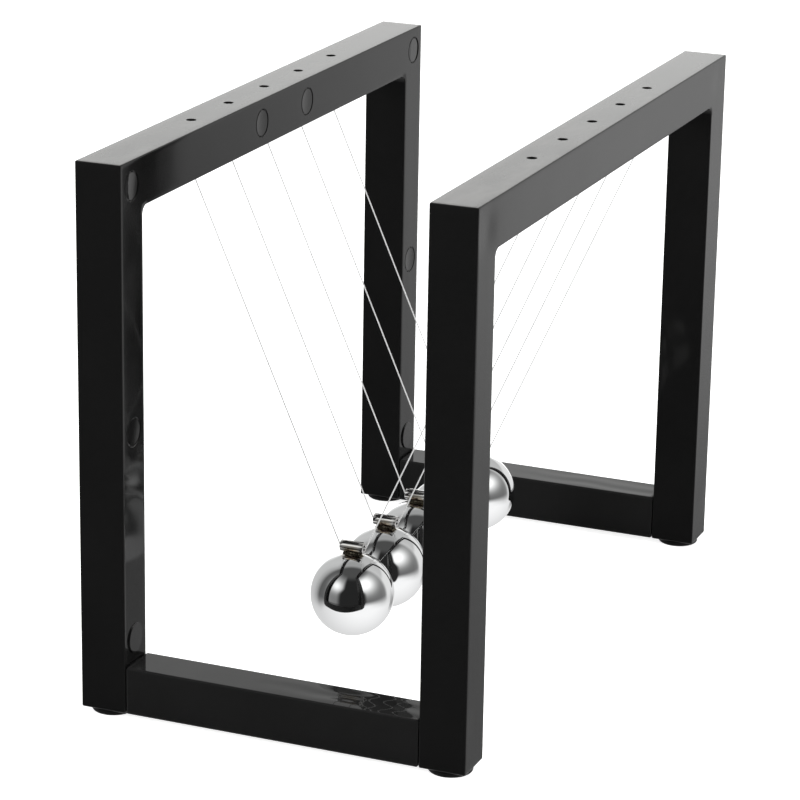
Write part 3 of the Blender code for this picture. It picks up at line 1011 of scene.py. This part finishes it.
def build_object():
    arch_plastic = black_plastic("arch_plastic", *ARCH_FINISH)
    # A lighter copy of the black plastic for the crossbars: its raised tone is a painted lift of
    # light
    bar_plastic = black_plastic("crossbar_plastic_painted_lift", *CROSSBAR_FINISH_PAINTED_LIFT)
    rubber = foot_rubber()
    for side, sign in SIDES.items():
        make_arch(side, sign, arch_plastic)
    for end in ENDS:
        make_crossbar(end, bar_plastic)
        for side in SIDES:
            make_foot(end, side, rubber)
    thread_material = nylon()
    tube_material = drawn_tube()
    braze_material = braze_metal()
    first = Pendulum(1)
    ball_material = polished_steel(first.radius - 0.15 * MM)
    for number in range(1, BALL_COUNT + 1):
        pendulum = Pendulum(number)
        make_ball(pendulum, ball_material)
        make_tube(pendulum, tube_material)
        make_braze(pendulum, braze_material)
        make_thread(pendulum, thread_material)
        for side, sign in SIDES.items():
            make_knot(side, sign, number, thread_material)


# ---------------------------------------------------------------- studio


def turn_ramp(graph, turn, stops):
    """A grey level round a full turn, through (azimuth in degrees, level) stops."""
    ramp = graph.node("ValToRGB", {"Fac": turn})
    elements = ramp.color_ramp.elements
    for degrees, level in stops[1:-1]:
        elements.new(0.5 + degrees / 360.0).color = (level, level, level, 1.0)
    for index in (0, -1):
        level = stops[index][1]
        elements[index].color = (level, level, level, 1.0)
    return ramp.outputs["Color"]


def soft_glow(graph, azimuth, elevation, glow):
    """Brightness of a round diffuser, which fades from its peak over its two spreads."""
    peak, azimuth_at, elevation_at, azimuth_spread, elevation_spread = glow
    across = graph.math("DIVIDE", graph.math("SUBTRACT", azimuth, azimuth_at), azimuth_spread)
    along = graph.math("DIVIDE", graph.math("SUBTRACT", elevation, elevation_at), elevation_spread)
    total = graph.math("ADD", graph.multiply(across, across), graph.multiply(along, along))
    return graph.multiply(graph.math("EXPONENT", graph.multiply(total, -1.0)), peak)


def studio_walls(graph, azimuth, elevation, turn):
    """Walls with two diffusers, a black curtain, and a pale band low down at the rear."""
    walls = turn_ramp(graph, turn, WALL_STOPS)
    for glow in DIFFUSERS:
        walls = graph.math("ADD", walls, soft_glow(graph, azimuth, elevation, glow))
    low = graph.smooth_step(elevation, CURTAIN_SLANT)
    sides = []
    for high_edge, low_edge in (CURTAIN_LEFT, CURTAIN_RIGHT):
        limits = [graph.mix(low, high, at_low) for high, at_low in zip(high_edge, low_edge)]
        sides.append(graph.smooth_step(azimuth, limits))
    walls = graph.mix(graph.multiply(*sides), walls, CURTAIN_LEVEL)

    band = graph.smooth_step(elevation, REAR_BAND_EDGE)
    horizon = graph.math("MAXIMUM", *[graph.smooth_step(azimuth, span) for span in HORIZON_SPANS])
    walls = graph.mix(graph.multiply(horizon, band), walls, HORIZON_LEVEL)
    band_level = graph.map_range(elevation, *REAR_BAND_FADE, *REAR_BAND_LEVELS)
    rear = graph.between(azimuth, REAR_SPANS)
    return graph.mix(graph.multiply(rear, band), walls, band_level)


def studio_table(graph, azimuth, elevation, turn, toward):
    """The table: a far part whose level goes round the turn, and a near part lit from one side."""
    corner = graph.between(azimuth, CORNER_SPANS)
    fade = graph.multiply(FAR_TABLE_FADE, graph.smooth_step(elevation, FAR_TABLE_FADE_SPAN))
    fade = graph.multiply(fade, graph.between(azimuth, SHADED_SPANS))
    fade = graph.math("SUBTRACT", 1.0, fade)
    far_table = graph.multiply(turn_ramp(graph, turn, FAR_TABLE_STOPS), fade)
    across, along = [graph.multiply(toward[axis], share)
                     for axis, share in zip("XY", TABLE_LIGHT_SIDE)]
    lit = graph.math("ADD", across, along)
    near_table = graph.map_range(lit, *TABLE_LIGHT_SPAN, *NEAR_TABLE_LEVELS)
    edge = [graph.mix(corner, *elevations) for elevations in NEAR_TABLE_EDGE]
    return graph.mix(graph.smooth_step(elevation, edge), far_table, near_table)


def surroundings(graph, direction):
    """The studio as glossy surfaces see it, from a direction: walls, ceiling and table.

    Azimuth is in degrees from the front (-Y) toward the right (+X); elevation is in degrees.
    """
    toward = graph.split(direction)
    azimuth = graph.math("ARCTAN2", toward["X"], graph.multiply(toward["Y"], -1.0))
    azimuth = graph.multiply(azimuth, math.degrees(1.0))
    elevation = graph.multiply(graph.math("ARCSINE", toward["Z"]), math.degrees(1.0))
    turn = graph.map_range(azimuth, -180.0, 180.0)

    walls = studio_walls(graph, azimuth, elevation, turn)
    rearward = graph.math("ADD", graph.multiply(toward["X"], CEILING_SLANT), toward["Y"])
    ceiling = graph.smooth_step(rearward, CEILING_SPAN)
    ceiling = graph.map_range(ceiling, 0.0, 1.0, *CEILING_LEVELS)
    upper = graph.mix(graph.smooth_step(elevation, CEILING_EDGE), walls, ceiling)

    front = graph.between(azimuth, FRONT_SPANS)
    left = graph.smooth_step(azimuth, LEFT_SPAN)
    off_front = graph.math("SUBTRACT", azimuth, FRONT_MIDDLE)
    off_front = graph.math("DIVIDE", off_front, FRONT_HALF_WIDTH)
    off_front = graph.multiply(off_front, off_front)
    droop = graph.map_range(off_front, 0.0, 1.0, FRONT_TABLE_DROOP, 0.0)
    front_top, front_full = [graph.math("SUBTRACT", level, droop) for level in FRONT_TABLE_EDGE]
    top = graph.mix(front, TABLE_TOP, front_top)
    full = graph.mix(front, graph.mix(left, *TABLE_FULL), front_full)
    below = graph.smooth_step(elevation, (top, full))
    skirt = graph.multiply(front, graph.smooth_step(elevation, CURTAIN_SKIRT))
    upper = graph.mix(skirt, upper, CURTAIN_LEVEL)
    return graph.mix(below, upper, studio_table(graph, azimuth, elevation, turn, toward))


def add_floor():
    """A wide pale table: white to the camera, and part of the surroundings to glossy surfaces."""
    bpy.ops.mesh.primitive_plane_add(size=FLOOR_SIZE, location=(0.0, 0.0, 0.0))
    floor = bpy.context.object
    floor.name = "floor"
    material, graph = new_material("floor_card")
    grain = graph.noise(graph.object_coordinates(), 40.0, 3.0)
    card = graph.node("BsdfPrincipled", {
        "Base Color": graph.mix_colors(grain, (0.88, 0.88, 0.88), (0.90, 0.90, 0.90)),
        "Roughness": 0.8,
        "Emission Color": WHITE,
        "Emission Strength": graph.camera_only(FLOOR_LIFT),
    })
    incoming = graph.node("NewGeometry").outputs["Incoming"]
    outward = graph.node("VectorMath", {0: incoming, "Scale": -1.0}, operation="SCALE")
    seen = graph.node("Emission", {"Strength": surroundings(graph, outward.outputs["Vector"])})
    glossy = graph.node("LightPath").outputs["Is Glossy Ray"]
    mix = graph.node("MixShader", {"Fac": glossy, 1: card.outputs["BSDF"],
                                   2: seen.outputs["Emission"]})
    graph.node("OutputMaterial", {"Surface": mix.outputs["Shader"]})
    floor.data.materials.append(material)


def add_area_light(name, place, size, energy):
    """A softbox that lights matt surfaces; glossy ones see the surroundings instead."""
    light = bpy.data.lights.new(name, "AREA")
    light.shape = "RECTANGLE"
    light.size, light.size_y = size
    light.energy = energy
    lamp = bpy.data.objects.new(name, light)
    bpy.context.scene.collection.objects.link(lamp)
    lamp.location = place
    aim = Vector(LIGHT_TARGET) - Vector(place)
    lamp.rotation_euler = aim.to_track_quat("-Z", "Y").to_euler()
    lamp.visible_glossy = False


def add_world():
    """A pale studio: white to the camera, and its walls and diffusers to reflections."""
    world = bpy.data.worlds.new("studio")
    bpy.context.scene.world = world
    world.use_nodes = True
    graph = Graph(world.node_tree)
    seen = surroundings(graph, graph.node("TexCoord").outputs["Generated"])
    studio = graph.node("Background", {"Strength": seen, "Color": STUDIO_COLOR})
    plain = graph.node("Background", {"Color": WHITE})
    camera = graph.node("LightPath").outputs["Is Camera Ray"]
    mix = graph.node("MixShader", {"Fac": camera, 1: studio.outputs["Background"],
                                   2: plain.outputs["Background"]})
    graph.node("OutputWorld", {"Surface": mix.outputs["Shader"]})


def add_camera():
    back = Vector((math.sin(CAMERA_AZIMUTH) * math.cos(CAMERA_ELEVATION),
                   -math.cos(CAMERA_AZIMUTH) * math.cos(CAMERA_ELEVATION),
                   math.sin(CAMERA_ELEVATION)))
    level_right = Vector((0.0, 0.0, 1.0)).cross(back).normalized()
    level_up = back.cross(level_right)
    right = level_right * math.cos(CAMERA_ROLL) + level_up * math.sin(CAMERA_ROLL)
    up = back.cross(right)
    camera = bpy.data.cameras.new("camera")
    camera.sensor_width = CAMERA_SENSOR
    camera.lens = CAMERA_FOCAL_RATIO * CAMERA_SENSOR
    camera.clip_start = 0.01
    holder = bpy.data.objects.new("camera", camera)
    bpy.context.scene.collection.objects.link(holder)
    turn = Matrix((right, up, back)).transposed().to_4x4()
    holder.matrix_world = Matrix.Translation(CAMERA_PLACE) @ turn
    bpy.context.scene.camera = holder


def build_studio():
    add_floor()
    add_world()
    for softbox in SOFTBOXES:
        add_area_light(*softbox)
    bpy.context.scene.view_settings.view_transform = "Standard"
    add_camera()


with open("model.json") as file:
    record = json.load(file)
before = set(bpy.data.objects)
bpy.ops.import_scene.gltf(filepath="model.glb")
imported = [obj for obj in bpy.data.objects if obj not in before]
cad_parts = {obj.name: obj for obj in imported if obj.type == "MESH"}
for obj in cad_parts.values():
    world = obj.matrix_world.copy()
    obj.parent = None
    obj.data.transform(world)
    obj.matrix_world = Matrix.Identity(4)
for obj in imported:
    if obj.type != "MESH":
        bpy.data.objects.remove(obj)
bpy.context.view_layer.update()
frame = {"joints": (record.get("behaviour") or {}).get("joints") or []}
build_object()
build_studio()
